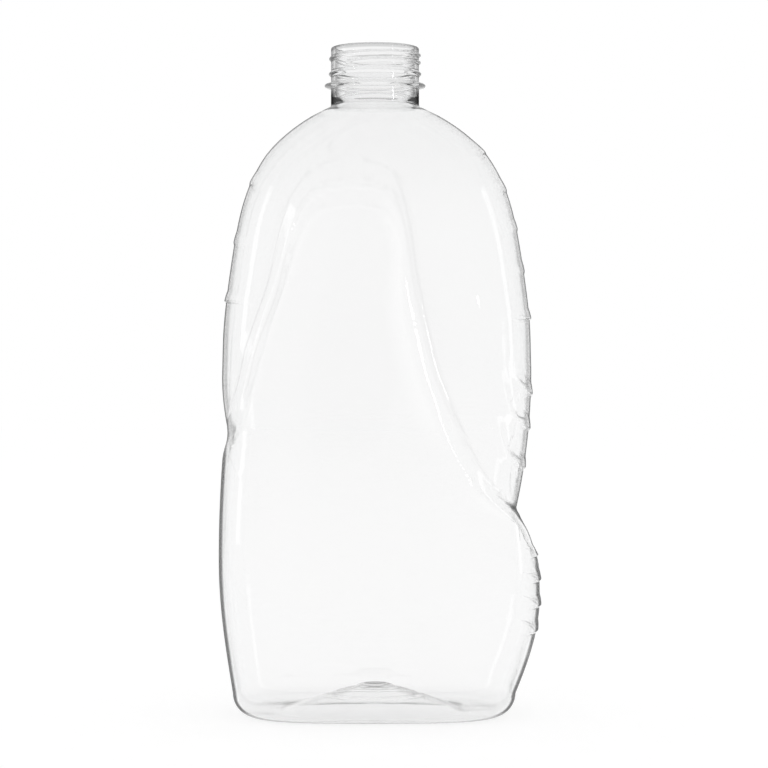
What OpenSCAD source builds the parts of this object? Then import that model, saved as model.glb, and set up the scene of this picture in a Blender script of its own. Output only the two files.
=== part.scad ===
/* [Body] */
// Height from the table to the corner where the shoulder meets the neck
body_h = 241.8; // [225:0.1:260]
// Width of the lower body at its widest lines
body_w = 127.4; // [118:0.1:136]
// How far the body sits to the right of the neck's axis
body_shift = 1.7; // [0:0.1:3]
// Depth of the body over its front and back panels
body_d = 93; // [84:0.1:102]
// How far the front and back panels stand proud of the grip
panel_step = 3; // [1:0.1:5]
// Thickness of the blown wall in the body
wall = 0.45; // [0.4:0.05:0.8]
// Height of the shoulder, over which the wall thickens
shoulder_h = 60; // [50:1:66]

/* [Grip] */
// How much less the grip reaches on the left than the lower body
grip_in_left = 1.2; // [0:0.1:4]
// How much less the grip reaches on the right than the lower body
grip_in_right = 3.2; // [1:0.1:6]
// Height at which the left side of the grip reaches furthest
grip_left_z = 134; // [125:1:150]
// Height at which the right side of the grip reaches furthest
grip_right_z = 137; // [120:1:148]
// Height from which the grip grows less deep
grip_deep_z = 150; // [135:1:165]
// Height at which the left edges of the panels meet on the side
meet_left_z = 112.6; // [104:0.1:120]
// Height at which the right edges of the panels meet on the side
meet_right_z = 80.2; // [74:0.1:88]
// How far the left side has drawn in where the panels meet
waist_left = 2.4; // [1:0.1:5]
// How far the right side has drawn in where the panels meet
waist_right = 6.4; // [3:0.1:9]

/* [Lower body] */
// Height of the lower body's furthest reach on the left
belly_left_z = 62; // [50:1:72]
// Height of the lower body's furthest reach on the right
belly_right_z = 47; // [38:1:56]
// Height at which the lower body reaches its full depth
belly_deep_z = 62; // [50:1:75]
// How far the lower body draws in above its widest lines
belly_draw = 2.3; // [0:0.1:4]
// How far the left side draws in from its widest line to the table
foot_in_left = 7; // [4:0.1:12]
// How far the right side draws in from its widest line to the table
foot_in_right = 13; // [7:0.1:15]
// How far the front and back draw in to the table
foot_in_deep = 2.2; // [1:0.1:5]
// Radius of the rounded bottom edge
foot_r = 9; // [5:0.1:10]

/* [Push-up] */
// Width of the foot outside the hollow on the left, rounded edge and all
stand_left = 17; // [15:0.1:24]
// Width of the foot outside the hollow on the right
stand_right = 17.4; // [15:0.1:24]
// Width of the foot outside the hollow at the front and the back
stand_deep = 17.3; // [15:0.1:24]
// Height of the hollow above the table
hollow_h = 11; // [6:0.1:16]
// Radius of the gate mark in the middle of the base
gate_r = 4.7; // [3:0.1:6]
// Depth of the gate mark
gate_dip = 0.5; // [0.2:0.1:1]

/* [Ribs] */
// How far a rib swells out of the side
rib_h = 0.75; // [0.3:0.05:1.2]
// Length over which a rib swells down to its edge
rib_run = 4.2; // [3:0.1:6]
// Drop of the step below a rib's edge
rib_drop = 0.8; // [0.5:0.05:1.2]
// Angle that a rib wraps round the side, each way
rib_wrap = 36; // [20:1:45]
// Spacing of the ribs on the right of the lower body
belly_rib_pitch = 10; // [8:0.1:11]

/* [Neck] */
// Outside diameter of the neck wall, at the root of its thread
neck_d = 35.2; // [34.4:0.1:36.4]
// Bore of the neck
neck_bore = 32; // [31:0.1:32.6]
// Height of the neck from the shoulder to the rim
neck_h = 23.7; // [20:0.1:27]
// Diameter of the support ring
ring_d = 40.3; // [37.5:0.1:44]
// Thickness of the support ring at its edge
ring_t = 0.9; // [0.6:0.1:2]
// How much the support ring thickens to the neck on its lower side
ring_slope = 0.7; // [0.2:0.1:1.2]
// Height of the support ring's middle above the shoulder
ring_z = 8.3; // [6:0.1:10]
// Diameter of the bead that holds the cap's tamper band
bead_d = 37.4; // [36.8:0.1:38.6]
// Height of the bead's widest line above the shoulder
bead_z = 13; // [12.2:0.1:14]
// Height over which the bead falls back to the wall, each way
bead_slope = 1.2; // [0.6:0.1:1.6]
// Radius of the rounded rim
rim_r = 0.9; // [0.4:0.1:1.2]

/* [Hidden] */

neck_r = neck_d / 2;
bore_r = neck_bore / 2;
belly_left = body_w / 2 - body_shift;
belly_right = body_w / 2 + body_shift;
grip_left = belly_left - grip_in_left;
grip_right = belly_right - grip_in_right;
grip_deep = body_d / 2 - panel_step;
foot_left = belly_left - foot_in_left;
foot_right = belly_right - foot_in_right;
hollow_left = foot_left - stand_left;
hollow_right = foot_right - stand_right;
hollow_deep = body_d / 2 - foot_in_deep - stand_deep;
rise_left = body_h - meet_left_z;
rise_right = body_h - meet_right_z;
shoulder_z = body_h - shoulder_h;

// The skins end in a short stub inside the neck's wall, clear of both its faces
stub_gap = 0.05;
stub_out = neck_r - stub_gap;
stub_in = bore_r + 2 * stub_gap;
stub_h = 1.5;

// The arch of the shoulder: share of the way up to the neck, share of the
// reach beyond the neck that is left there
arch = [[0, 1], [0.2, 0.983], [0.45, 0.905], [0.6, 0.835], [0.7, 0.757],
        [0.78, 0.66], [0.84, 0.555], [0.905, 0.385], [0.96, 0.19], [1, 0]];

// How square a cross-section is, by share of the body's height: 2 is an oval
squareness = [[0, 3.3], [0.35, 3.1], [0.72, 2.7], [0.9, 2.35], [1, 2]];

// Edges of the panel: share of the rise from a meeting point to the neck, and
// angle on the body there. The angle runs from 0 on the right side over 90 in
// front to 180 on the left side. The panel stands proud inside the inner line
// and fades into the grip at the outer line. Past a meeting point they run on.
left_outer = [[-0.2322, 225], [-0.1084, 197], [0, 180], [0.0464, 163], [0.1246, 148.2],
              [0.2446, 141], [0.3491, 134], [0.4536, 129], [0.6881, 125.2], [0.743, 121.5],
              [0.7817, 117], [0.8073, 109.4], [0.822, 99], [0.8437, 86]];
left_inner = [[-0.2322, 205], [-0.1548, 186], [-0.0697, 168], [0.0039, 149], [0.2446, 132.7],
              [0.346, 128.3], [0.4528, 123.4], [0.5573, 120], [0.6324, 117.5], [0.6858, 113.3],
              [0.7152, 104.1], [0.7276, 95], [0.7508, 80]];
right_outer = [[-0.1856, -40], [-0.0866, -17], [0, 0], [0.0186, 18], [0.0476, 38],
               [0.0897, 49.5], [0.1423, 58.2], [0.2166, 65.6], [0.2766, 69.8], [0.3428, 73.7],
               [0.4425, 76.7], [0.5736, 79.2], [0.7024, 80.2], [0.8014, 82.5], [0.8329, 86],
               [0.8577, 97], [0.8725, 108]];
right_inner = [[-0.2475, -25], [-0.1547, 0], [-0.0866, 20], [-0.0309, 33], [0.0161, 52.7],
               [0.0835, 65.5], [0.1504, 72.2], [0.224, 77.4], [0.3261, 81.5], [0.4425, 84.1],
               [0.521, 85], [0.6566, 84.2], [0.7048, 85], [0.7481, 87.4], [0.7717, 90.8],
               [0.7822, 97], [0.8014, 112]];

// Lower edges of the ribs. Those above the meeting points are shares of the
// rise to the neck. The close ones stand beside the panel edge and low down.
left_ribs = [for (share = [0.765, 0.58, 0.397]) meet_left_z + share * rise_left];
right_ribs = [for (share = [0.889, 0.795, 0.697, 0.593, 0.475]) meet_right_z + share * rise_right];
close_ribs = concat([for (share = [0.29, 0.209, 0.109]) meet_right_z + share * rise_right],
                    [for (i = [1.7 : -1 : -1.3]) belly_right_z + i * belly_rib_pitch]);

// Columns of the mesh, counted round the front from left to right:
// grip, panel edge, panel, panel edge, grip
columns = [5, 2, 6, 3, 6];

function sum_to(v, n, i = 0) = i >= n ? 0 : v[i] + sum_to(v, n, i + 1);
half_count = sum_to(columns, len(columns));
count = 2 * half_count;

// A smooth curve through stations of [position, value]
function slope(s, i) = let (a = max(i - 1, 0), b = min(i + 1, len(s) - 1))
    (s[b][1] - s[a][1]) / (s[b][0] - s[a][0]);
function span_at(s, x, i = 0) = i >= len(s) - 2 || x <= s[i + 1][0] ? i : span_at(s, x, i + 1);
function curve(s, x) =
    let (i = span_at(s, x), w = s[i + 1][0] - s[i][0],
         t = min(1, max(0, (x - s[i][0]) / w)))
    s[i][1] * (2 * t^3 - 3 * t^2 + 1) + s[i + 1][1] * (3 * t^2 - 2 * t^3)
    + w * (slope(s, i) * (t^3 - 2 * t^2 + t) + slope(s, i + 1) * (t^3 - t^2));
function ease(t) = let (u = min(1, max(0, t))) u * u * (3 - 2 * u);
function mix(a, b, t) = a + (b - a) * t;

// Reach of the grip at a height: arched above its widest line, drawn in below
function grip_reach(z, w, wide_z, waist, meet_z) =
    z > wide_z
    ? neck_r + (w - neck_r) * curve(arch, (z - wide_z) / (body_h - wide_z))
    : let (u = (wide_z - z) / (wide_z - meet_z))
      w - waist * (u < 1 ? u * u : 2 - exp(-2 * (u - 1)));
function grip_l(z) = grip_reach(z, grip_left, grip_left_z, waist_left, meet_left_z);
function grip_r(z) = grip_reach(z, grip_right, grip_right_z, waist_right, meet_right_z);
function grip_d(z) = neck_r + (grip_deep - neck_r)
    * curve(arch, max(0, z - grip_deep_z) / (body_h - grip_deep_z));

// Reach of the panel body: a belly below the meeting point, and above it the
// grip with a stand-off that dies away
belly_ease = 1.1;
fade_run = 20;
function belly(z, foot, w, wide_z, draw_z) =
    z < wide_z
    ? foot + (w - foot) * sin(90 * z / wide_z)^belly_ease
    : w - belly_draw * ((z - wide_z) / (draw_z - wide_z))^2;
function belly_l(z) = belly(z, foot_left, belly_left, belly_left_z, meet_left_z);
function belly_r(z) = belly(z, foot_right, belly_right, belly_right_z, meet_right_z);
function panel_l(z) = z < meet_left_z ? belly_l(z)
    : grip_l(z) + (belly_l(meet_left_z) - grip_l(meet_left_z)) * exp((meet_left_z - z) / fade_run);
function panel_r(z) = z < meet_right_z ? belly_r(z)
    : grip_r(z) + (belly_r(meet_right_z) - grip_r(meet_right_z)) * exp((meet_right_z - z) / fade_run);
function panel_d(z) = min(grip_d(z) + panel_step,
    body_d / 2 - foot_in_deep * (1 - sin(90 * min(1, z / belly_deep_z))));

// Angle of an edge line at a height, on the left and on the right
function edge_l(line, z) = curve(line, (z - meet_left_z) / rise_left);
function edge_r(line, z) = curve(line, (z - meet_right_z) / rise_right);

// How far a point is inside the panel: 0 on the grip, 1 on the panel
function inside(angle, z) =
    let (from_outer = min(edge_l(left_outer, z) - angle, angle - edge_r(right_outer, z)),
         to_inner = max(angle - edge_l(left_inner, z), edge_r(right_inner, z) - angle))
    from_outer <= 0 ? 0 : to_inner <= 0 ? 1 : ease(from_outer / (from_outer + to_inner));

// A rib swells slowly down to its edge and falls off in a short step below it.
// It is full at the side and dies away as it wraps round.
rib_full = 0.4;
function swell(above) = above > 0
    ? max(0, 1 - above / rib_run)
    : max(0, 1 + above / rib_drop);
function ribs(angle, z) =
    let (left = angle > 90, off = left ? 180 - angle : angle,
         grow = ease((1 - off / rib_wrap) / (1 - rib_full)))
    grow <= 0 ? 0 : rib_h * grow
        * max([for (e = left ? left_ribs : concat(right_ribs, close_ribs)) swell(z - e)]);

// A point of a cross-section. Angles from 180 to 360 mirror the front.
function point(turn, z, inset, row_z) =
    let (angle = turn > 180 ? 360 - turn : turn,
         side = angle > 90 ? -1 : 1,
         power = 2 / curve(squareness, z / body_h),
         c = abs(cos(angle))^power, s = abs(sin(angle))^power,
         grip_w = side > 0 ? grip_r(z) : grip_l(z),
         panel_w = side > 0 ? panel_r(z) : panel_l(z),
         m = inside(angle, z),
         out = ribs(angle, row_z) - inset,
         w = mix(grip_w, panel_w, m) + out,
         d = mix(grip_d(z), panel_d(z), m) + out)
    [side * w * c, (turn > 180 ? 1 : -1) * d * s];

// Angle of each column at a height. Guides follow the panel's edges, no closer
// to the side than the columns there need, and spread out evenly where the
// edges have met or ended.
even_step = 180 / half_count;
least_step = 2.8;
relax_from_left = meet_left_z - 2;
relax_from_right = meet_right_z - 24;
relax_run = 26;
edge_top = mix(shoulder_z, body_h, 0.3);
relax_top = mix(shoulder_z, body_h, 0.4);
relax_full = mix(shoulder_z, body_h, 0.9);
function guide(k) = 180 - even_step * sum_to(columns, k);
function guides(z) =
    let (left = ease((relax_from_left - z) / relax_run),
         right = ease((relax_from_right - z) / relax_run),
         top = ease((z - relax_top) / (relax_full - relax_top)),
         l = max(left, top), r = max(right, top), held = min(z, edge_top))
    [180,
     mix(min(edge_l(left_outer, held), 180 - least_step * columns[0]), guide(1), l),
     mix(min(edge_l(left_inner, held), 180 - least_step * (columns[0] + columns[1])), guide(2), l),
     mix(max(edge_r(right_inner, held), least_step * (columns[3] + columns[4])), guide(3), r),
     mix(max(edge_r(right_outer, held), least_step * columns[4]), guide(4), r),
     0];
function fill(g) = [for (k = [0 : len(columns) - 1], i = [0 : columns[k] - 1])
    mix(g[k], g[k + 1], i / columns[k])];
function turns(z) = let (half = fill(guides(z)))
    concat(half, [0], [for (i = [half_count - 1 : -1 : 1]) 360 - half[i]]);

// Rows droop towards the middle of the face on the shoulder, square to its outline
droop = 9;
droop_run = 0.7 * shoulder_h;
droop_end = 0.28 * shoulder_h;
function droop_at(z) = droop * ease((z - shoulder_z) / droop_run) * ease((body_h - z) / droop_end);

// Height rows: at the edge and the step of each rib, at the start of each
// swell that stands free, and even ones where there are no ribs
row_gap = 8;
shoulder_gap = 4.4;
keep_clear = 0.45;
last_row = 2;
dense_z = mix(shoulder_z, body_h, 0.27);
rib_rows = concat(
    [for (e = concat(left_ribs, right_ribs)) each [e + rib_run, e, e - rib_drop]],
    [for (e = close_ribs) each [e, e - rib_drop]]);
plain_rows = concat(
    [for (z = [1.5 * foot_r : row_gap : dense_z - row_gap / 2]) z],
    [for (z = [dense_z : shoulder_gap : body_h - last_row]) z]);
far_rows = [for (z = plain_rows)
    let (gap = z < dense_z ? row_gap : shoulder_gap)
    if (min([for (e = rib_rows) abs(e - z)]) > keep_clear * gap) z];
function sorted(v) = len(v) < 2 ? v : let (p = v[floor(len(v) / 2)])
    concat(sorted([for (x = v) if (x < p) x]), [for (x = v) if (x == p) x],
           sorted([for (x = v) if (x > p) x]));
least_gap = 0.3;
function thinned(v) = [for (i = [0 : len(v) - 1])
    if (i == 0 || v[i] - v[i - 1] > least_gap) v[i]];
rows = thinned(sorted(concat(rib_rows, far_rows)));

// The wall grows thicker over the shoulder, up to the neck
function wall_at(z) = mix(wall, stub_out - stub_in, max(0, (z - shoulder_z) / shoulder_h)^2);

// One row of the side, and one of the neck, as points in space
function side_row(z, t) = [for (a = turns(z))
    let (lean = 1 - abs(cos(a)), zt = z - droop_at(z) * lean,
         p = point(a, zt, t, z)) [p[0], p[1], zt]];
function neck_row(z, r) = [for (a = turns(body_h)) [r * cos(a), -r * sin(a), z]];

// Rounded bottom edge, with the same centre for both skins
foot_steps = 4;
function foot_row(z, inset) = [for (a = turns(foot_r))
    let (p = point(a, foot_r, inset, foot_r)) [p[0], p[1], z]];
function foot_rows(t) = [for (i = [0 : foot_steps])
    let (a = 90 * i / foot_steps, r = foot_r - t)
    foot_row(foot_r - r * cos(a), foot_r - r * sin(a))];

// The hollow: shares of its half sizes at which it has a row. It is as square
// as the foot at its edge and turns round towards the gate mark.
hollow_steps = [1, 0.88, 0.7, 0.5, 0.3];
hollow_bow = 1.15;
hollow_round = 0.7;
function hollow_row(share, t) =
    let (rise = hollow_h * (1 - share * share)^hollow_bow,
         round = ease((1 - share) / hollow_round),
         power = mix(2 / squareness[0][1], 1, round))
    [for (a = turns(foot_r))
        let (side = cos(a) > 0 ? 1 : -1, c = abs(cos(a))^power, s = abs(sin(a))^power,
             w = mix(side > 0 ? hollow_right : hollow_left, hollow_deep, hollow_round * round))
        [side * w * share * c, (sin(a) > 0 ? -1 : 1) * hollow_deep * share * s, rise + t]];
gate_edge = 0.85;
function gate_row(r, z) = [for (a = turns(foot_r)) [r * cos(a), -r * sin(a), z]];

// A whole skin, from the gate out and up to the stub in the neck
function skin(t, stub_r) = concat(
    [gate_row(gate_edge * gate_r, hollow_h - gate_dip + t), gate_row(gate_r, hollow_h + t)],
    [for (i = [len(hollow_steps) - 1 : -1 : 0]) hollow_row(hollow_steps[i], t)],
    foot_rows(t),
    [for (z = rows) side_row(z, t == 0 ? 0 : wall_at(z))],
    [neck_row(body_h, stub_r), neck_row(body_h + stub_h, stub_r)]);

function strip(a, b, flip) = [for (i = [0 : count - 1])
    let (j = (i + 1) % count)
    each flip ? [[a + i, b + j, b + i], [a + i, a + j, b + j]]
              : [[a + i, b + i, b + j], [a + i, b + j, a + j]]];
function strips(first, rows, flip) = [for (k = [0 : rows - 2])
    each strip(first + k * count, first + (k + 1) * count, flip)];

module blown_body() {
    outer = skin(0, stub_out);
    inner = skin(wall, stub_in);
    n = len(outer);
    first_in = n * count;
    points = concat([for (r = outer) each r], [for (r = inner) each r]);
    faces = concat(
        strips(0, n, false),
        strips(first_in, n, true),
        strip(first_in - count, first_in + (n - 1) * count, false),
        [[for (i = [count - 1 : -1 : 0]) i]],
        [[for (i = [0 : count - 1]) first_in + i]]);
    polyhedron(points, faces, convexity = 10);
}

// Straight neck with its rounded rim, support ring and bead
module neck() {
    translate([0, 0, body_h])
        rotate_extrude($fn = 96)
            polygon(concat(
                [[bore_r, 0], [neck_r, 0],
                 [neck_r, ring_z - ring_t / 2 - ring_slope],
                 [ring_d / 2, ring_z - ring_t / 2],
                 [ring_d / 2, ring_z + ring_t / 2],
                 [neck_r, ring_z + ring_t / 2 + ring_slope / 2],
                 [neck_r, bead_z - bead_slope],
                 [bead_d / 2, bead_z],
                 [neck_r, bead_z + bead_slope]],
                [for (a = [0 : 30 : 90])
                    [neck_r - rim_r + rim_r * cos(a), neck_h - rim_r + rim_r * sin(a)]],
                [[bore_r, neck_h]]));
}

module bottle() {
    color([0.86, 0.9, 0.93, 0.45]) {
        blown_body();
        neck();
    }
}

bottle();
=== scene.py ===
# %% [markdown]
# # A clear blown bottle
# The real object is one thin skin of clear plastic. A short moulded tube, the
# preform, is warmed and blown against the walls of a mould. Its neck keeps the
# exact shape it was moulded with, and the rest is stretched to a wall of about
# half a millimetre. This lesson makes that skin as one closed mesh with an
# outside and an inside, and gives it a finish that bends and dims light.
#
# It starts from the solid model, which is loaded as a fixed frame. All sizes
# are in metres there. The box of the solid is kept and printed.

# %% The frame
import math

import bmesh
import bpy
import numpy as np
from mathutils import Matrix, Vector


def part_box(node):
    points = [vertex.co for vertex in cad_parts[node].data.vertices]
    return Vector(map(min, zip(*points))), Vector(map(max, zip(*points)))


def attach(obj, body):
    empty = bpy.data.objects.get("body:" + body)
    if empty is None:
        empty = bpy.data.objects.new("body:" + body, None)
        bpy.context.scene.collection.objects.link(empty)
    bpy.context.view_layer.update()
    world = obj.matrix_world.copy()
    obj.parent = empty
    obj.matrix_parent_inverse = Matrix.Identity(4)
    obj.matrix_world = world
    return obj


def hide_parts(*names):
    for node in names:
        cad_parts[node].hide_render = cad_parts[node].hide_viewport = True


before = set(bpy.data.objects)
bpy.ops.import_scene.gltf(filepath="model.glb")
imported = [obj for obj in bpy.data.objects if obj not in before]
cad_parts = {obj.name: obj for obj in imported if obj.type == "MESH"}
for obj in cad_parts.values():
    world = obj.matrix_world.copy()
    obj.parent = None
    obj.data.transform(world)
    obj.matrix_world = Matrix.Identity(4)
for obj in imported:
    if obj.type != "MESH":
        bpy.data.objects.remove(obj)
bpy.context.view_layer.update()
MM = 0.001
low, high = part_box("bottle")
print("solid bottle:", [round(c / MM, 1) for c in (*low, *high)], "mm")

# %% [markdown]
# ## Curves through measured stations
# A blown body has no simple formula. Its outline and the edges of its panels
# are measured at a handful of stations and joined by smooth curves. Blender's
# own curve objects could do that. Here it is a few lines of numpy, so that the
# same curve gives a whole array of heights at once.

# %% Curves and blends
def curve(stations, x):
    """A smooth curve through stations of (position, value), flat beyond its ends."""
    s = np.array(stations, float)
    last = len(s) - 1
    before, after = np.maximum(np.arange(len(s)) - 1, 0), np.minimum(np.arange(len(s)) + 1, last)
    slope = (s[after, 1] - s[before, 1]) / (s[after, 0] - s[before, 0])
    x = np.clip(x, s[0, 0], s[last, 0])
    i = np.clip(np.searchsorted(s[:, 0], x, side="left") - 1, 0, last - 1)
    width = s[i + 1, 0] - s[i, 0]
    t = (x - s[i, 0]) / width
    return (s[i, 1] * (2 * t**3 - 3 * t**2 + 1) + s[i + 1, 1] * (3 * t**2 - 2 * t**3)
            + width * (slope[i] * (t**3 - 2 * t**2 + t) + slope[i + 1] * (t**3 - t**2)))


def ease(t):
    """From 0 to 1 with a soft start and a soft end."""
    t = np.clip(t, 0, 1)
    return t * t * (3 - 2 * t)


def mix(a, b, t):
    return a + (b - a) * t


def ramp(t, corner):
    """From 0 to 1 in a straight slope whose two corners are rounded off."""
    t = np.clip(t, 0, 1)
    u = np.minimum(t, 1 - t)
    bend = np.where(u < corner, u * u / (2 * corner), u - corner / 2) / (1 - corner)
    return np.where(t < 0.5, bend, 1 - bend)


print("halfway along a rounded slope:", float(ramp(np.array(0.5), 0.3)))

# %% [markdown]
# ## The outline
# Seen from the front the bottle is two shapes in one. The upper one is an
# arched grip, widest at the middle and drawn in below. The lower one is a belly
# on a rounded foot. A panel that belongs to the lower shape runs up the front
# and the back and stands a little proud of the grip. Each height has a reach
# to the left, a reach to the right and a depth for both shapes. Sizes here are
# in millimetres, measured from the neck's axis and from the table.

# %% Outline of the grip and the belly
body_h = 241.8
neck_r, bore_r = 17.6, 16.0
grip = {"left": (60.8, 134.0, 2.4), "right": (62.2, 137.0, 6.4)}   # reach, height, waist
belly = {"left": (55.0, 62.0, 62.0), "right": (52.4, 65.4, 47.0)}  # foot, reach, height
meet = {"left": 112.6, "right": 80.2}
arch = [(0, 1), (0.2, 0.983), (0.45, 0.905), (0.6, 0.835), (0.7, 0.757),
        (0.78, 0.66), (0.84, 0.555), (0.905, 0.385), (0.96, 0.19), (1, 0)]
squareness = [(0, 3.3), (0.35, 3.1), (0.72, 2.7), (0.9, 2.35), (1, 2)]


def grip_reach(side, z):
    reach, wide_z, waist = grip[side]
    up = neck_r + (reach - neck_r) * curve(arch, (z - wide_z) / (body_h - wide_z))
    u = (wide_z - z) / (wide_z - meet[side])
    down = reach - waist * np.where(u < 1, u * u, 2 - np.exp(-2 * np.maximum(u - 1, 0)))
    return np.where(z > wide_z, up, down)


def belly_reach(side, z):
    foot, reach, wide_z = belly[side]
    rise = np.sin(np.radians(90 * np.clip(z / wide_z, 0, 1)))**1.1
    draw = 2.3 * ((z - wide_z) / (meet[side] - wide_z))**2
    return np.where(z < wide_z, foot + (reach - foot) * rise, reach - draw)


def panel_reach(side, z):
    top = meet[side]
    fade = (belly_reach(side, top) - grip_reach(side, top)) * np.exp(-np.maximum(z - top, 0) / 20)
    return np.where(z < top, belly_reach(side, z), grip_reach(side, z) + fade)


def grip_depth(z):
    return neck_r + (43.5 - neck_r) * curve(arch, np.maximum(0, z - 150) / (body_h - 150))


def panel_depth(z):
    return np.minimum(grip_depth(z) + 3,
                      46.5 - 2.2 * (1 - np.sin(np.radians(90 * np.minimum(1, z / 62)))))


for z in (20, 80, 137, 200):
    print("at", z, "mm: grip", np.round(grip_reach("right", np.array(z)), 1),
          "panel", np.round(panel_reach("right", np.array(z)), 1))

# %% [markdown]
# ## The swept edges
# The panel ends in two long S-shaped edges. They start over the arch at the
# top, sweep down the face and wrap round the sides, where each meets its twin
# from the back in a sharp V. An edge is a step with two lines: an outer one
# where the grip ends, and an inner one where the panel begins. Both are given
# as an angle round the body against the height from their meeting point. The
# angle is 0 on the right side, 90 in front and 180 on the left side. Both lines
# are marked too, so that the finish can paint shade into the fold and a
# highlight onto the crest.

# %% Edges of the panel
left_outer = [(-30, 225), (-14, 197), (0, 180), (6, 163), (16.1, 148.2), (31.6, 141),
              (45.1, 134), (58.6, 129), (88.9, 125.2), (96, 121.5), (101, 117),
              (104.3, 109.4), (106.2, 99), (109, 86)]
left_inner = [(-30, 205), (-20, 186), (-9, 168), (0.5, 149), (31.6, 132.7), (44.7, 128.3),
              (58.5, 123.4), (72, 120), (81.7, 117.5), (88.6, 113.3), (92.4, 104.1),
              (94, 95), (97, 80)]
right_outer = [(-30, -40), (-14, -17), (0, 0), (3, 18), (7.7, 38), (14.5, 49.5), (23, 58.2),
               (35, 65.6), (44.7, 69.8), (55.4, 73.7), (71.5, 76.7), (92.7, 79.2),
               (113.5, 80.2), (129.5, 82.5), (134.6, 86), (138.6, 97), (141, 108)]
right_inner = [(-40, -25), (-25, 0), (-14, 20), (-5, 33), (2.6, 52.7), (13.5, 65.5),
               (24.3, 72.2), (36.2, 77.4), (52.7, 81.5), (71.5, 84.1), (84.2, 85),
               (106.1, 84.2), (113.9, 85), (120.9, 87.4), (124.7, 90.8), (126.4, 97),
               (129.5, 112)]


def edge_gaps(angle, z):
    """Degrees from the outer line inwards, and from the inner line outwards."""
    from_outer = np.minimum(curve(left_outer, z - meet["left"]) - angle,
                            angle - curve(right_outer, z - meet["right"]))
    to_inner = np.maximum(angle - curve(left_inner, z - meet["left"]),
                          curve(right_inner, z - meet["right"]) - angle)
    return from_outer, to_inner


def inside(angle, z):
    """How far a point is inside the panel: 0 on the grip, 1 on the panel."""
    from_outer, to_inner = edge_gaps(angle, z)
    share = from_outer / np.maximum(from_outer + np.maximum(to_inner, 0), 1e-6)
    return np.where(from_outer <= 0, 0, np.where(to_inner <= 0, 1, ramp(share, 0.22)))


def edge_mark(angle, z):
    """1 on the fold at the outer line, -1 on the crest at the inner line, 0 elsewhere: where the finish
    paints shade into the fold and a highlight onto the crest.
    """
    from_outer, to_inner = edge_gaps(angle, z)
    fold = np.exp(-((from_outer - 0.8) / 0.7)**2)
    crest = np.exp(-(to_inner / 0.8)**2)
    return (fold - crest) * ease((236 - z) / 22)


print("panel share across the face, 150 mm up:",
      np.round(inside(np.arange(60, 160, 10.0), np.full(10, 150.0)), 2))

# %% [markdown]
# ## Ribs for the fingers
# Short ribs like overlapping scales sit on both shoulders and low on the right
# side. Each one swells out slowly from above and drops back in a short step,
# which catches the light as a fine line. A rib could be a modifier or a
# sculpted stroke. As a height added to the cross-section, it bends both skins
# alike, as blowing does. On the shoulders the ribs are lower and rounder.

# %% Short ribs
rise_left, rise_right = body_h - meet["left"], body_h - meet["right"]
left_ribs = [meet["left"] + share * rise_left for share in (0.765, 0.58, 0.397)]
right_ribs = [meet["right"] + share * rise_right for share in (0.889, 0.795, 0.697, 0.593, 0.475)]
belly_ribs = [34.0, 44.0, 54.0, 64.0]
rib_run, rib_drop = 4.2, 0.8


def swell(above, run, drop):
    """Height of a rib: a fold, a round swell down to its edge, then a short step."""
    return np.where(above > 0, 1 - np.clip(above / run, 0, 1)**1.5, ramp(1 + above / drop, 0.35))


def drop_at(e):
    return 1.7 if e > 170 else rib_drop


def rib_height(e):
    return 0.45 if e > 170 else 0.75


def short_ribs(edges, angle_off, z):
    grow = ease((1 - angle_off / 36) / 0.6)
    return grow * np.max([rib_height(e) * swell(z - e, rib_run, drop_at(e)) for e in edges], axis=0)


print("short ribs:", len(left_ribs + right_ribs + belly_ribs))

# %% [markdown]
# ## Long ribs
# Three longer ribs stand above the right edge, where the fingers close. On the
# side they are as level as the others. In front they turn up and run along the
# swept edge until they fade. Each crest is a line of heights and angles. How
# far a point lies from a slanted line follows from how far it lies above it
# and beside it. The fold over each rib is marked close to the side, where the
# photograph shows it as a short dark stroke, and the finish paints that stroke
# in as shade.

# %% Long ribs
crests = [[(126.7, 0), (128.0, 12), (131.0, 25), (136.2, 34.1), (143.9, 38.2), (151.6, 40.2),
           (160, 41)],
          [(113.4, 0), (113.6, 8), (115.5, 20), (118.6, 30), (128.4, 39.8), (138.7, 45.3),
           (147, 48.7), (156, 51)],
          [(97.9, 0), (98.2, 8), (100.0, 22), (103.0, 33), (108.7, 39.7), (113.7, 43.5),
           (118.7, 48.3), (124.5, 53.2), (132.8, 57.9), (142, 61)]]


def long_ribs(angle, z):
    heights = []
    for crest in crests:
        lift = z - curve([(a, h) for h, a in crest], angle)
        aside = 0.9 * (curve(crest, z) - angle)
        off = np.sign(lift) * np.abs(lift * aside) / np.maximum(np.hypot(lift, aside), 1e-6)
        end = crest[-1][1]
        grow = ease((end - angle) / (0.7 * end))
        front = ease((angle - 14) / 20)
        above = np.where(z > crest[0][0] + 0.01, off, lift)
        upper = mix(swell(above, 4.4, 1.7), ramp(1 - above / 7.5, 0.45), front)
        lower = ramp(1 + above / mix(1.7, 5.0, front), 0.4)
        heights.append(grow * np.where(above > 0, upper, lower))
    return 0.75 * np.max(heights, axis=0)


def rib_fold_shade_mark(angle, row_z):
    """Above 1 on the short fold over each long rib, close to the side, where the finish paints shade."""
    folds = [crest[0][0] + step for crest, step in zip(crests, (4.3, 3.9, 3.0))]
    near = np.max([np.exp(-((row_z - fold) / 0.25)**2) for fold in folds], axis=0)
    return 5 * near * (1 - ease((angle - 12) / 16))


def ribs(angle, row_z, z):
    left = short_ribs(left_ribs, 180 - angle, row_z)
    right = np.maximum(short_ribs(right_ribs + belly_ribs, angle, row_z), long_ribs(angle, z))
    return np.where(angle > 90, left, right)


print("long ribs:", len(crests))

# %% [markdown]
# ## Cross-sections
# A cross-section is a squared oval at the foot that turns into a circle at the
# neck. Its columns aren't spread evenly. They follow the swept edges, so that
# the mesh flows along every crease instead of cutting through it in steps, as
# a modeller would lay edge loops by hand.

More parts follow.
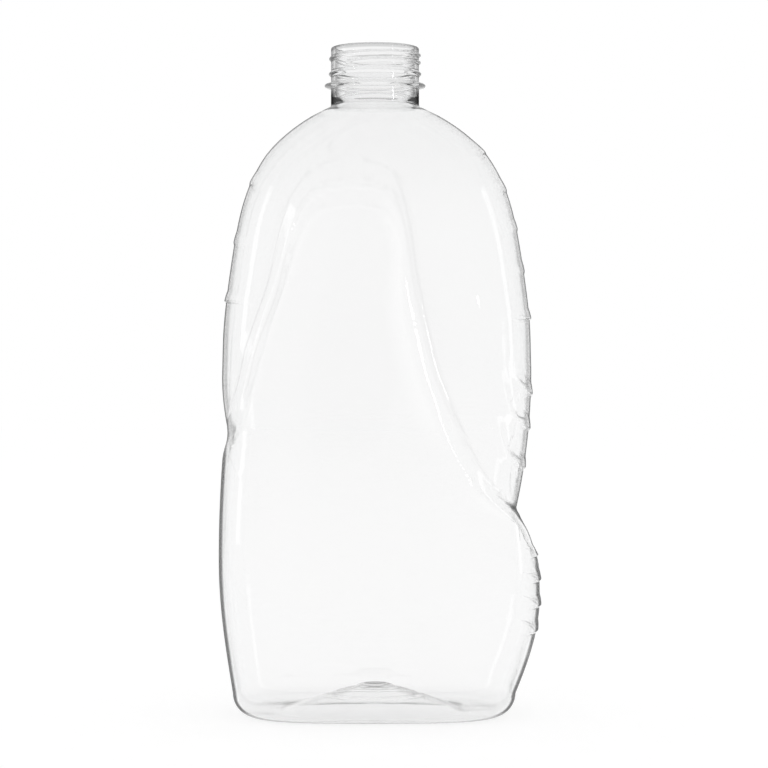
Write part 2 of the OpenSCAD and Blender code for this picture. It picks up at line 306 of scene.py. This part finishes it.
# %% Cross-sections that follow the edges
columns = [12, 10, 10, 10, 40]          # grip, edge, panel, edge, grip
half_count = sum(columns)
count = 2 * half_count
edge_top = 200


def guides(z):
    """Angles of the six lines between which the columns are spread."""
    even = [180 - 180 * sum(columns[:k]) / half_count for k in range(6)]
    left, right = ease((meet["left"] - 2 - z) / 26), ease((meet["right"] - 24 - z) / 26)
    top = ease((z - 206) / 30)
    left, right = np.maximum(left, top), np.maximum(right, top)
    held_z = np.minimum(z, edge_top)
    return [np.full_like(z, 180.0),
            mix(np.minimum(curve(left_outer, held_z - meet["left"]), 166), even[1], left),
            mix(np.minimum(curve(left_inner, held_z - meet["left"]), 160), even[2], left),
            mix(np.maximum(curve(right_inner, held_z - meet["right"]), 36), even[3], right),
            mix(np.maximum(curve(right_outer, held_z - meet["right"]), 28), even[4], right),
            np.zeros_like(z)]


def turns(z):
    """Angles of all columns at each height, once round: front first, then back."""
    g = guides(np.asarray(z, float))
    half = np.stack([mix(g[k], g[k + 1], i / columns[k])
                     for k in range(5) for i in range(columns[k])], axis=-1)
    zero = np.zeros(half.shape[:-1] + (1,))
    return np.concatenate([half, zero, 360 - half[..., :0:-1]], axis=-1)


def section(turn, z, inset, row_z):
    """Place of a point on a cross-section, drawn in by inset."""
    angle = np.where(turn > 180, 360 - turn, turn)
    right = angle <= 90
    power = 2 / curve(squareness, z / body_h)
    c, s = np.abs(np.cos(np.radians(angle)))**power, np.abs(np.sin(np.radians(angle)))**power
    share = inside(angle, z)
    out = ribs(angle, row_z, z) - inset
    grip_w = np.where(right, grip_reach("right", z), grip_reach("left", z))
    panel_w = np.where(right, panel_reach("right", z), panel_reach("left", z))
    w = mix(grip_w, panel_w, share) + out
    d = mix(grip_depth(z), panel_depth(z), share) + out
    return np.stack([np.where(right, 1, -1) * w * c, np.where(turn > 180, 1, -1) * d * s, z], axis=-1)


print("columns round the bottle:", count)

# %% [markdown]
# ## Rows of the side
# Rows are close together at each rib, where the surface turns fast, and even
# between them. On the shoulder they droop towards the middle of the face, so
# that they stay square to the arch, and beside the long ribs they climb with
# them. Below the right V the sharp panel edge would leave a groove, so a row may
# not get narrower again on its way round to the side. The wall grows thicker up
# to the neck, because the plastic near the neck is hardly stretched.

# %% Side rows
row_gap = 1.7
wall = 0.45
foot_r = 9.0
shoulder_z, shoulder_h = 181.8, 60.0


def side_heights():
    rib_rows = [e + step for e in left_ribs + right_ribs + belly_ribs
                for step in (rib_run, rib_run - 0.5, 0.5, 0.1, -0.3 * drop_at(e), -0.8 * drop_at(e),
                             -drop_at(e) - 0.3)]
    rib_rows += [crest[0][0] + step for crest in crests
                 for step in (4.7, 4.3, 3.9, 3.0, 1.6, 0.5, 0, -0.5, -1.2, -1.8)]
    even = np.concatenate([np.arange(foot_r + row_gap, 96, row_gap), np.arange(97, 155, 1.15),
                           np.arange(156, body_h - 2, row_gap)])
    even = [z for z in even if min(abs(z - r) for r in rib_rows) > 0.6]
    rows = sorted(rib_rows + even)
    return np.array([z for z, below in zip(rows, [0] + rows) if z - below > 0.1])


def climb(turn, z):
    """How far rows climb with the long ribs where these leave the side."""
    angle = np.where(turn > 180, 360 - turn, turn)
    along = curve([(0, 0), (8, 0.2), (20, 2.1), (30, 5.2), (38, 6.2), (48, 6), (85, 0)], angle)
    return along * ease((z - 84) / 10) * ease((168 - z) / 34)


def filled(rows, turn):
    """Rows whose width doesn't shrink again on the way round to the side."""
    for side, first, last in ((-1, half_count // 2, 0), (1, half_count // 2, half_count),
                              (1, half_count * 3 // 2, half_count), (-1, half_count * 3 // 2, count)):
        step = 1 if last > first else -1
        at = np.arange(first, last + step, step) % count
        off = np.minimum(turn[:, at] % 180, 180 - turn[:, at] % 180)
        near = (off < 42) & (rows[:, at, 0] * side > 0)
        widest = np.maximum.accumulate(np.where(near, rows[:, at, 0] * side, 0), axis=1)
        rows[:, at, 0] = np.where(near, widest * side, rows[:, at, 0])
    return rows


def side_row(z, inset):
    """Rows of the side, each drawn in by its inset."""
    turn = turns(z)
    z, inset = z[:, None], inset[:, None]
    droop = 9 * ease((z - shoulder_z) / (0.7 * shoulder_h)) * ease((body_h - z) / (0.28 * shoulder_h))
    height = z - droop * (1 - np.abs(np.cos(np.radians(turn)))) + climb(turn, z)
    return section(turn, height, inset, z + 0 * turn)


def wall_at(z):
    return mix(wall, neck_r - bore_r, np.maximum(0, (z - shoulder_z) / shoulder_h)**2)


heights = side_heights()
print("side rows:", len(heights), "from", heights[0], "to", round(float(heights[-1]), 1), "mm")

# %% [markdown]
# ## The base
# The bottom edge is rounded, and the middle of the base is pushed up, so that
# the bottle stands on a narrow band and doesn't rock. In the middle is the
# gate mark, where the plastic entered the preform's mould, with a faint ring
# round it.

# %% Base rows
hollow_left, hollow_right, hollow_d, hollow_h = 38.0, 35.0, 27.0, 11.0
gate_r, gate_dip = 4.7, 0.5
gate_rows_marked = 5


def foot_rows(t, steps):
    a = np.radians(np.linspace(0, 90, steps + 1))[:, None]
    turn = turns(np.full(steps + 1, foot_r))
    z = np.full_like(turn, foot_r)
    p = section(turn, z, foot_r - (foot_r - t) * np.sin(a) + 0 * turn, z)
    p[..., 2] = foot_r - (foot_r - t) * np.cos(a)
    return p


def hollow_rows(t, shares):
    share = np.array(shares)[:, None]
    turn = turns(np.full(len(shares), foot_r))
    c, s = np.cos(np.radians(turn)), np.sin(np.radians(turn))
    blend = ease((1 - share) / 0.7)
    power = mix(2 / squareness[0][1], 1, blend)
    w = mix(np.where(c > 0, hollow_right, hollow_left), hollow_d, 0.7 * blend) * share
    rise = hollow_h * (1 - share * share)**1.15 + t
    ring = 0.25 * np.exp(-((share - 0.3) / 0.03)**2) + 0.3 * np.exp(-((share - 0.58) / 0.02)**2)
    return np.stack([np.sign(c) * w * np.abs(c)**power,
                     -np.sign(s) * hollow_d * share * np.abs(s)**power,
                     rise - ring + 0 * turn], axis=-1)


def disc_rows(profile):
    """Turned rows: one circle for each (radius, height)."""
    p = np.array(profile, float)
    a = np.radians(turns(np.full(len(p), body_h)))
    return np.stack([p[:, :1] * np.cos(a), -p[:, :1] * np.sin(a), p[:, 1:] + 0 * a], axis=-1)


def gate_rows(t):
    rows = [(0, -gate_dip), (0.5, -gate_dip), (0.78, -gate_dip), (0.86, -0.8 * gate_dip),
            (0.94, -0.2 * gate_dip), (1, 0), (1.3, -0.06)]
    return [(gate_r * r, hollow_h + t + dz) for r, dz in rows]


shares = [0.27, 0.3, 0.33, 0.36, 0.42,
          0.48, 0.53, 0.56, 0.58, 0.6, 0.63, 0.67, 0.72, 0.78, 0.83, 0.88, 0.92, 0.95, 0.975, 1]
print("base rows:", len(shares) + len(gate_rows(0)), "in the hollow")

# %% [markdown]
# ## The neck
# The neck is moulded, so its shapes are crisp: a plain wall, a support ring by
# which the bottle hangs in the filling line, a bead that holds the cap's
# tamper band, a screw thread and a rounded rim. All but the thread are turned.
# A thread could be a screw modifier on its own profile, joined by a boolean.
# Here it is a swell of the neck's own wall that climbs with the angle, so that
# the skin stays one piece and has no seam.

# %% Neck rows
top = 265.5
thread_crest, thread_pitch = 18.35, 2.95
thread_first, thread_last = 258.3, 262.9


def neck_profile():
    b = body_h
    ring = [(neck_r, b + 7.0), (17.68, b + 7.18), (17.95, b + 7.3), (19.9, b + 7.83), (20.08, b + 7.95),
            (20.15, b + 8.12), (20.15, b + 8.48), (20.08, b + 8.65), (19.9, b + 8.75), (17.9, b + 8.98),
            (17.68, b + 9.08), (neck_r, b + 9.25)]
    bead = [(neck_r, b + 11.75), (17.7, b + 11.95), (18.2, b + 12.5), (18.47, b + 12.8), (18.55, b + 13.0),
            (18.47, b + 13.2), (18.15, b + 13.6), (17.7, b + 14.1), (neck_r, b + 14.3)]
    wall_rows = [(neck_r, b + z) for z in (0.8, 1.6, 2.6, 3.8, 5.0, 6.2)]
    between = [(neck_r, b + z) for z in (9.9, 10.7, 11.4)]
    threaded = [(neck_r, z) for z in np.arange(b + 14.75, top - 1.2, 0.24)]
    rim = [(neck_r - 0.9 + 0.9 * math.cos(a), top - 0.9 + 0.9 * math.sin(a))
           for a in np.radians([0, 18, 36, 54, 72, 90])]
    inner = [(bore_r + 0.35, top), (bore_r + 0.12, top - 0.1), (bore_r, top - 0.35)]
    return wall_rows + ring + between + bead + threaded + rim + inner


def thread_height(turn, z):
    """Swell of the thread: a right-hand helix, tapered at both ends."""
    height = np.zeros_like(z)
    for k in range(-3, 4):
        middle = thread_first + 1.1 + thread_pitch * (k - turn / 360)
        grow = ease((middle - thread_first) / 0.4) * ease((thread_last - middle) / 0.4)
        height = np.maximum(height, grow * ramp(1.3 - np.abs(z - middle) / 0.7, 0.3))
    return height


def neck_rows():
    rows = disc_rows(neck_profile())
    turn = turns(np.full(len(rows), body_h))
    swell_out = (thread_crest - neck_r) * thread_height(turn, rows[..., 2])
    on_wall = np.abs(np.hypot(rows[..., 0], rows[..., 1]) - neck_r) < 0.01
    scale = 1 + np.where(on_wall, swell_out, 0) / neck_r
    rows[..., 0] *= scale
    rows[..., 1] *= scale
    return rows


print("neck rows:", len(neck_profile()))

# %% [markdown]
# ## One closed skin
# The rows now run from the middle of the base outside, up the side and the
# neck, over the rim, and down the inside to the middle of the base again. A
# grid from bmesh has just that many rows and columns. Its points are laid on
# the computed places, its first and last columns are welded into one seam, and
# its first and last rows shrink to one point each. Nothing is left open. Each
# point carries two numbers for the finish: its skin, and its mark for painted
# shade in a fold and a painted highlight on a crest.

# %% The bottle's mesh
def skin_rows():
    """All rows of the closed skin, and for each point its skin and its mark for painted shade and highlight.
    """
    turn = turns(heights)
    plain = side_row(heights, 0 * heights)
    side = filled(plain.copy(), turn)
    raised = (side[..., 0] - plain[..., 0]) * (side[..., 0] > 0)
    angle = np.where(turn > 180, 360 - turn, turn)
    # Marks for painted shade in the folds and a painted highlight on the crests.
    marks = edge_mark(angle, side[..., 2]) + rib_fold_shade_mark(angle, heights[:, None])
    # Rows filled out below the right V get a mark too, which the finish paints darker.
    marks += 0.8 * ease((raised - 0.3) / 2)
    base_out = [disc_rows(gate_rows(0)), hollow_rows(0, shares), foot_rows(0, 12)]
    base_in = [disc_rows(gate_rows(wall)), hollow_rows(wall, shares), foot_rows(wall, 12)]
    bore = disc_rows([(bore_r, z) for z in (top - 1, top - 4, 256, 251, 246, body_h + 0.6)])
    collar = disc_rows([(neck_r + 0.25, body_h - 0.2)])
    outer = np.concatenate(base_out + [side, collar, neck_rows()])
    inner = np.concatenate(base_in + [filled(side_row(heights, wall_at(heights)), turn)])[::-1]
    rows = np.concatenate([outer, bore, inner])
    edge = np.zeros(rows.shape[:2])
    base = sum(len(part) for part in base_out)
    edge[base:base + len(side)] = marks
    edge[len(rows) - base - len(side):len(rows) - base] = marks[::-1]
    # The gate mark's rows get a mark of 2, which the finish paints darker.
    edge[:gate_rows_marked], edge[-gate_rows_marked:] = 2, 2
    skin = np.zeros(rows.shape[:2])
    skin[len(outer):] = 1
    return rows, {"inner_skin": skin, "edge_mark": edge}


def closed_skin(name, rows, marks):
    """A grid laid on rows of points, wrapped round and closed."""
    around = np.concatenate([rows, rows[:, :1]], axis=1) * MM
    bm = bmesh.new()
    bmesh.ops.create_grid(bm, x_segments=count, y_segments=len(rows) - 1, size=1)
    mesh = bpy.data.meshes.new(name)
    bm.to_mesh(mesh)
    mesh.vertices.foreach_set("co", around.astype(np.float32).ravel())
    for mark, values in marks.items():
        layer = mesh.attributes.new(mark, "FLOAT", "POINT")
        wrapped = np.concatenate([values, values[:, :1]], axis=1)
        layer.data.foreach_set("value", wrapped.astype(np.float32).ravel())
    bm.clear()
    bm.from_mesh(mesh)
    bmesh.ops.remove_doubles(bm, verts=bm.verts, dist=1e-7)
    bmesh.ops.dissolve_degenerate(bm, edges=bm.edges, dist=1e-8)
    bmesh.ops.recalc_face_normals(bm, faces=bm.faces)
    for face in bm.faces:
        face.smooth = True
    open_edges = sum(1 for e in bm.edges if not e.is_manifold)
    volume = bm.calc_volume(signed=True)
    bm.to_mesh(mesh)
    bm.free()
    print(name, "triangles:", sum(len(p.vertices) - 2 for p in mesh.polygons), "open edges:", open_edges,
          "plastic:", round(volume * 1e6, 1), "cm3")
    piece = bpy.data.objects.new(name, mesh)
    bpy.context.scene.collection.objects.link(piece)
    return piece


bottle = closed_skin("bottle_skin", *skin_rows())
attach(bottle, "root")
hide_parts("bottle")

# %% [markdown]
# ## Writing materials as sums
# A material is a tree of nodes. Placing each node by hand is slow to read, so a
# small class wraps a socket and lets Python's own signs add the Math nodes. A
# second one makes any other node from its type, its settings and its inputs.

# %% A small kit for materials
class Wire:
    """An output socket that can be added, multiplied and subtracted."""

    def __init__(self, paint, socket):
        self.paint, self.socket = paint, socket

    def _math(self, operation, first, second):
        return self.paint.node("ShaderNodeMath", {"operation": operation}, {0: first, 1: second})

    def __add__(self, other): return self._math("ADD", self, other)
    def __radd__(self, other): return self._math("ADD", other, self)
    def __sub__(self, other): return self._math("SUBTRACT", self, other)
    def __rsub__(self, other): return self._math("SUBTRACT", other, self)
    def __mul__(self, other): return self._math("MULTIPLY", self, other)
    def __rmul__(self, other): return self._math("MULTIPLY", other, self)


class Paint:
    """A material whose nodes are made one call at a time."""

    def __init__(self, tree):
        self.tree = tree
        tree.nodes.clear()

    def node(self, kind, settings=None, inputs=None, output=0):
        made = self.tree.nodes.new(kind)
        for key, value in (settings or {}).items():
            if key == "stops":
                while len(made.color_ramp.elements) < len(value):
                    made.color_ramp.elements.new(0.5)
                for stop, (place, colour) in zip(made.color_ramp.elements, value):
                    stop.position, stop.color = place, colour
            else:
                setattr(made, key, value)
        for key, value in (inputs or {}).items():
            if isinstance(value, Wire):
                self.tree.links.new(value.socket, made.inputs[key])
            else:
                made.inputs[key].default_value = value
        return Wire(self, made.outputs[output]) if made.outputs else made


def new_paint(name):
    material = bpy.data.materials.new(name)
    material.use_nodes = True
    return material, Paint(material.node_tree)


print("material kit ready")

# %% [markdown]
# ## Clear plastic
# Clear plastic shows by what it does to the light behind it. It bends light by
# its index of refraction, about 1.57. It takes a little light away along the
# path through the wall, so the middle, seen through two thin walls, is almost
# white, and the rim of the shape, where the view runs along the wall, is a thin
# dark line. A white room has nothing dark to bend into that line, so the finish
# paints it in as shade, by how edge-on the skin is seen: broad on the neck and
# the belly, fine on the grip, and none on flat shoulders and undersides. It also
# paints shade into the marked folds, on the shoulder and at the foot, and a
# highlight on the crests of the swept edges. The blown wall is never quite even,
# and faint waves and level streaks show that.

# %% Finish of the bottle
def grey(value, tint=0.0):
    return (value - tint, value, value + tint / 2, 1)


def slope(paint, value, start, end, top=1.0):
    """A soft step from 0 at start to top at end."""
    return paint.node("ShaderNodeMapRange", {"interpolation_type": "SMOOTHSTEP"},
                      {"Value": value, "From Min": start, "From Max": end, "To Max": top})


def tone_by_facing(paint, facing, stops):
    return paint.node("ShaderNodeValToRGB", {"stops": [(at, grey(*v)) for at, *v in stops]}, {0: facing})


# Tones from facing the eye (0) to seen edge-on (1): place, tone, tint. Darker edge-on, partly for the wall's
# absorption and partly as painted shade.
grip_stops = [(0.0, 0.966), (0.004, 0.967), (0.02, 0.973), (0.3, 0.97, 0.001), (0.45, 0.962, 0.001),
              (0.62, 0.94, 0.002), (0.75, 0.88, 0.003), (0.86, 0.7, 0.004), (1.0, 0.5)]
belly_stops = [(0.0, 0.972), (0.02, 0.976), (0.5, 0.974, 0.001), (0.75, 0.965, 0.002),
               (0.9, 0.93, 0.003), (1.0, 0.86)]
neck_stops = [(0.0, 0.955, 0.001), (0.4, 0.945, 0.002), (0.7, 0.9, 0.003), (1.0, 0.9)]


def clear_plastic():
    material, paint = new_paint("clear_blown_plastic")
    place = paint.node("ShaderNodeTexCoord", output="Object")
    waves = paint.node("ShaderNodeTexNoise", {"noise_dimensions": "3D"},
                       {"Vector": place, "Scale": 38.0, "Detail": 1.0})
    level = paint.node("ShaderNodeMapping", {}, {"Vector": place, "Scale": (14.0, 14.0, 260.0)})
    streaks = paint.node("ShaderNodeTexNoise", {"noise_dimensions": "3D"},
                         {"Vector": level, "Scale": 1.0, "Detail": 2.0})
    height = paint.node("ShaderNodeSeparateXYZ", {}, {"Vector": place}, output="Z")
    blown = slope(paint, height, 0.2415, 0.236)
    bump = paint.node("ShaderNodeBump", {}, {"Height": (waves + streaks * 0.25) * (blown * 0.9 + 0.1),
                                             "Strength": 0.12, "Distance": 0.0012})
    facing = paint.node("ShaderNodeLayerWeight", {}, {"Blend": 0.5}, output="Facing")
    outward = paint.node("ShaderNodeTexCoord", output="Normal")
    upward = paint.node("ShaderNodeSeparateXYZ", {}, {"Vector": outward}, output="Z")
    flat = slope(paint, upward * upward, 0.3, 0.85)
    on_neck = slope(paint, height, 0.2410, 0.2422)
    sideways = paint.node("ShaderNodeSeparateXYZ", {}, {"Vector": place}, output="X")
    right_side = slope(paint, sideways, 0.0, 0.01)
    on_belly = slope(paint, height + 0.022 * right_side, 0.117, 0.101)
    light_tone = slope(paint, height - 0.025 * right_side, 0.114, 0.095)
    on_base = slope(paint, height, 0.014, 0.007)
    under = slope(paint, upward, -0.2, -0.5) * slope(paint, height, 0.02, 0.03)
    flat_top = slope(paint, upward * upward, 0.6, 0.8) * slope(paint, height, 0.237, 0.240)
    inner = paint.node("ShaderNodeAttribute", {"attribute_name": "inner_skin"}, output="Fac")

    grip_tone = tone_by_facing(paint, facing, grip_stops)
    belly_tone = tone_by_facing(paint, facing, belly_stops)
    neck_tone = tone_by_facing(paint, facing, neck_stops)
    body_tone = paint.node("ShaderNodeMix", {"data_type": "RGBA"},
                           {0: light_tone, 6: grip_tone, 7: belly_tone}, output=2)
    tone = paint.node("ShaderNodeMix", {"data_type": "RGBA"},
                      {0: slope(paint, height, 0.2380, 0.2405), 6: body_tone, 7: neck_tone}, output=2)
    edge_mark = paint.node("ShaderNodeAttribute", {"attribute_name": "edge_mark"}, output="Fac")
    # Painted shade in the marked folds, stronger where the skin is seen edge-on.
    fold_painted_shade = edge_mark * (0.055 + 0.3 * (facing * facing))
    # Painted shade: the shoulder is darkened a little towards the top.
    shoulder_painted_shade = 0.012 * slope(paint, height, 0.19, 0.235)
    # Painted shade: the lowest band of the foot is darkened a little.
    foot_painted_shade = slope(paint, height, 0.007, 0.002, 0.045)
    shade_painted_tone = paint.node("ShaderNodeMix", {"data_type": "RGBA"},
                        {0: fold_painted_shade + shoulder_painted_shade + foot_painted_shade, 6: tone, 7: grey(0.0)}, output=2)
    # Painted highlight: the crests, where the mark is below 0, are made almost white.
    highlight_painted_tone = paint.node("ShaderNodeMix", {"data_type": "RGBA"},
                         {0: edge_mark * -0.8, 6: shade_painted_tone, 7: grey(0.997)}, output=2)
    wall_look = paint.node("ShaderNodeBsdfPrincipled", {},
                           {"Base Color": highlight_painted_tone, "Roughness": 0.015, "IOR": 1.57,
                            "Transmission Weight": 1.0, "Normal": bump})
    # Painted shade: a near-black outline is mixed in where the skin is seen edge-on, broad on the belly and
    # the neck, fine on the grip, with more at the neck's foot and a band at the rim.
    belly_line = slope(paint, facing, 0.69, 0.8, 0.74) * (1 - inner)
    body_line = slope(paint, facing, 0.8, 0.93, 0.8) * (1 - on_belly) + belly_line * on_belly
    body_line = body_line * (1 - 0.66 * (on_base * flat)) * (1 - under) * (1 - 0.8 * flat_top)
    neck_line = slope(paint, facing, 0.45, 0.8, 0.5)
    neck_foot = slope(paint, facing, 0.4, 0.62, 0.45) * slope(paint, height, 0.2495, 0.2462)
    neck_line = neck_line + neck_foot * (1 - slope(paint, upward * upward, 0.01, 0.12))
    across = paint.node("ShaderNodeVectorMath", {"operation": "MULTIPLY"}, {0: place, 1: (1, 1, 0)})
    radius = paint.node("ShaderNodeVectorMath", {"operation": "LENGTH"}, {0: across}, output="Value")
    stands_out = slope(paint, radius, 0.01768, 0.01795)
    rim_band = slope(paint, height, 0.2634, 0.2641, 0.15)
    neck_line = neck_line * (1 - flat) * (1 - 0.8 * stands_out) + rim_band
    edge = body_line * (1 - on_neck) + neck_line * on_neck
    line = paint.node("ShaderNodeBsdfTransparent", {}, {"Color": (0.03, 0.032, 0.035, 1)})
    with_painted_outline = paint.node("ShaderNodeMixShader", {}, {0: edge, 1: wall_look, 2: line})
    through = paint.node("ShaderNodeBsdfTransparent", {}, {"Color": (0.93, 0.935, 0.94, 1)})
    shadow = paint.node("ShaderNodeLightPath", output="Is Shadow Ray")
    surface = paint.node("ShaderNodeMixShader", {}, {0: shadow, 1: with_painted_outline, 2: through})
    haze = paint.node("ShaderNodeVolumeAbsorption", {}, {"Color": (0.2, 0.2, 0.2, 1), "Density": 20.0})
    paint.node("ShaderNodeOutputMaterial", {}, {"Surface": surface, "Volume": haze})
    return material


bottle.data.materials.append(clear_plastic())
print("finish:", bottle.data.materials[0].name)

# %% [markdown]
# ## The table and the light
# The picture was taken against plain white. The floor is pale and keeps the
# bottle's faint shadow. A share of its white is its own glow, seen by the
# camera, in reflections and through the plastic, so that the light on the
# bottle stays at a plain level. The world does the same for the backdrop. Far
# away the floor is a touch darker, so that it meets the backdrop without a step.
# It lies a hair below the bottle, because faces in one plane flicker.

# %% Floor and backdrop
def seen_directly(paint):
    """1 for what the camera sees, also in reflections and through the plastic."""
    path = paint.node("ShaderNodeLightPath", output="Is Camera Ray")
    node = path.socket.node
    return paint.node("ShaderNodeMath", {"operation": "ADD", "use_clamp": True},
                      {0: path + Wire(paint, node.outputs["Is Glossy Ray"]),
                       1: Wire(paint, node.outputs["Is Transmission Ray"])})


def floor_piece():
    bm = bmesh.new()
    bmesh.ops.create_grid(bm, x_segments=12, y_segments=12, size=6)
    bmesh.ops.translate(bm, verts=bm.verts, vec=(0, 0, -0.0002))
    mesh = bpy.data.meshes.new("floor")
    bm.to_mesh(mesh)
    bm.free()
    piece = bpy.data.objects.new("floor", mesh)
    bpy.context.scene.collection.objects.link(piece)
    material, paint = new_paint("pale_floor")
    grain = paint.node("ShaderNodeTexNoise", {}, {"Vector": paint.node("ShaderNodeTexCoord", output="Object"),
                                                  "Scale": 60.0})
    stops = [(0.3, grey(0.34)), (0.7, grey(0.36))]
    tone = paint.node("ShaderNodeValToRGB", {"stops": stops}, {0: grain})
    away = paint.node("ShaderNodeVectorMath", {"operation": "LENGTH"},
                      {0: paint.node("ShaderNodeTexCoord", output="Object")}, output="Value")
    far_tone = paint.node("ShaderNodeMix", {"data_type": "RGBA"},
                          {0: slope(paint, away, 0.6, 4.0), 6: grey(1.0), 7: grey(0.989)}, output=2)
    matte = paint.node("ShaderNodeBsdfDiffuse", {}, {"Color": tone})
    glow = paint.node("ShaderNodeEmission", {}, {"Color": far_tone, "Strength": 0.80})
    dark = paint.node("ShaderNodeEmission", {}, {"Color": grey(0.0), "Strength": 0.0})
    extra = paint.node("ShaderNodeMixShader", {}, {0: seen_directly(paint), 1: dark, 2: glow})
    paint.node("ShaderNodeOutputMaterial", {},
               {"Surface": paint.node("ShaderNodeAddShader", {}, {0: matte, 1: extra})})
    mesh.materials.append(material)
    return piece


floor_piece()
world = bpy.data.worlds.new("white_room")
world.use_nodes = True
bpy.context.scene.world = world
air = Paint(world.node_tree)
plain = air.node("ShaderNodeBackground", {}, {"Color": grey(0.8), "Strength": 0.75})
white = air.node("ShaderNodeBackground", {}, {"Color": grey(1.0), "Strength": 1.0})
air.node("ShaderNodeOutputWorld", {},
         {"Surface": air.node("ShaderNodeMixShader", {}, {0: seen_directly(air), 1: plain, 2: white})})
print("floor and backdrop are white")

# %% [markdown]
# ## Lamps and camera
# Two tall, narrow, dim lamps stand at the two sides and draw the pale upright
# streaks near the outline. Two very small ones in front put short sparks on the
# swept edges. The camera is level with the middle of the bottle, one metre away,
# with a long lens.

# %% Lamps and camera
def soft_lamp(name, place, size, power):
    lamp = bpy.data.lights.new(name, "AREA")
    lamp.shape, lamp.size, lamp.size_y, lamp.energy = "RECTANGLE", *size, power
    piece = bpy.data.objects.new(name, lamp)
    piece.location = place
    aim = np.array([0, 0, 0.13]) - np.array(place)
    piece.rotation_euler = (math.atan2(math.hypot(aim[0], aim[1]), -aim[2]), 0,
                            math.atan2(-aim[0], aim[1]))
    bpy.context.scene.collection.objects.link(piece)


soft_lamp("left_panel", (-1.9, 0.1, 0.6), (0.3, 1.3), 0.75)
soft_lamp("right_panel", (1.9, 0.1, 0.6), (0.3, 1.3), 0.75)
soft_lamp("left_spark", (-1.16, -0.67, 0.75), (0.06, 0.06), 0.16)
soft_lamp("right_spark", (1.14, -1.0, 0.41), (0.06, 0.06), 0.08)
camera = bpy.data.cameras.new("camera")
camera.lens, camera.sensor_width = 117.19, 36.0
eye = bpy.data.objects.new("camera", camera)
eye.location, eye.rotation_euler = (0.0036, -1.0, 0.131), (math.pi / 2, 0, 0)
bpy.context.scene.collection.objects.link(eye)
bpy.context.scene.camera = eye
bpy.context.scene.view_settings.view_transform = "Standard"
bpy.context.scene.cycles.max_bounces = 24
bpy.context.scene.cycles.transmission_bounces = 24
bpy.context.scene.cycles.transparent_max_bounces = 16
print("camera is", round(-eye.location.y, 2), "m away")

# %% [markdown]
# ## Updating the scene
# Last, the view layer is updated.

# %% Last update
bpy.context.view_layer.update()
